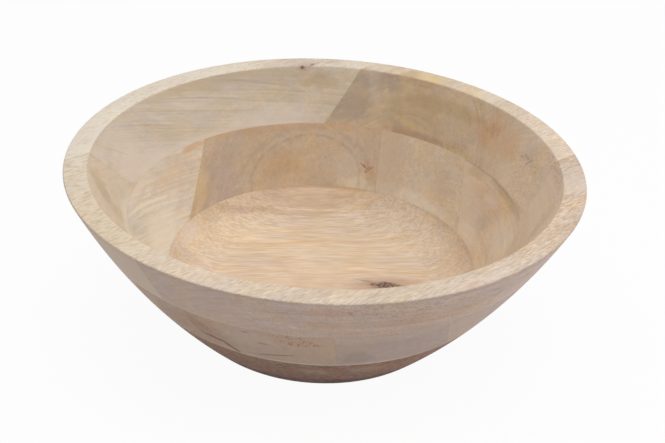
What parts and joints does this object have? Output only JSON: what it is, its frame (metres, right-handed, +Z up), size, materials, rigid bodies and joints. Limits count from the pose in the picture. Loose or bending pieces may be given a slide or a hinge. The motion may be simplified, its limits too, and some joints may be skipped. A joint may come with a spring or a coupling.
{
  "type": "salad bowl",
  "caption": "Shallow flaring wooden salad bowl with a broad flat rim and flat foot, turned from crossed layers of edge-glued planks.",
  "frame": {"origin": "on the table at the middle of the flat foot", "axes": "+Z up along the bowl's axis of turning, +X to the right and +Y away from the viewer of the picture"},
  "size_m": [0.2998, 0.2998, 0.1025],
  "materials": {
    "upper_back_wood": "pale cream board, sanded matte",
    "upper_wide_wood": "grey to olive brown board, sanded matte",
    "upper_narrow_wood": "brown board with dark pores, sanded matte",
    "upper_front_wood": "pale board, sanded matte",
    "lower_left_wood": "light board, sanded matte",
    "lower_wide_wood": "warm brown board with growth lines and knots, sanded matte",
    "lower_narrow_wood": "greyish board, sanded matte",
    "lower_right_wood": "pinkish brown board, sanded matte",
    "base_back_wood": "pinkish board, sanded matte",
    "base_middle_wood": "straight-grained warm cream board, sanded matte",
    "base_front_wood": "warm orange-cream board with a dark knot, sanded matte"
  },
  "bodies": {
    "root": {"upper_back_plank": "upper_back_wood", "upper_wide_plank_right": "upper_wide_wood", "upper_wide_plank_left": "upper_wide_wood", "upper_narrow_plank_right": "upper_narrow_wood", "upper_narrow_plank_left": "upper_narrow_wood", "upper_front_plank": "upper_front_wood", "lower_left_plank": "lower_left_wood", "lower_wide_plank_back": "lower_wide_wood", "lower_wide_plank_front": "lower_wide_wood", "lower_narrow_plank_back": "lower_narrow_wood", "lower_narrow_plank_front": "lower_narrow_wood", "lower_right_plank": "lower_right_wood", "base_back_plank": "base_back_wood", "base_middle_plank": "base_middle_wood", "base_front_plank": "base_front_wood"}
  },
  "joints": []
}
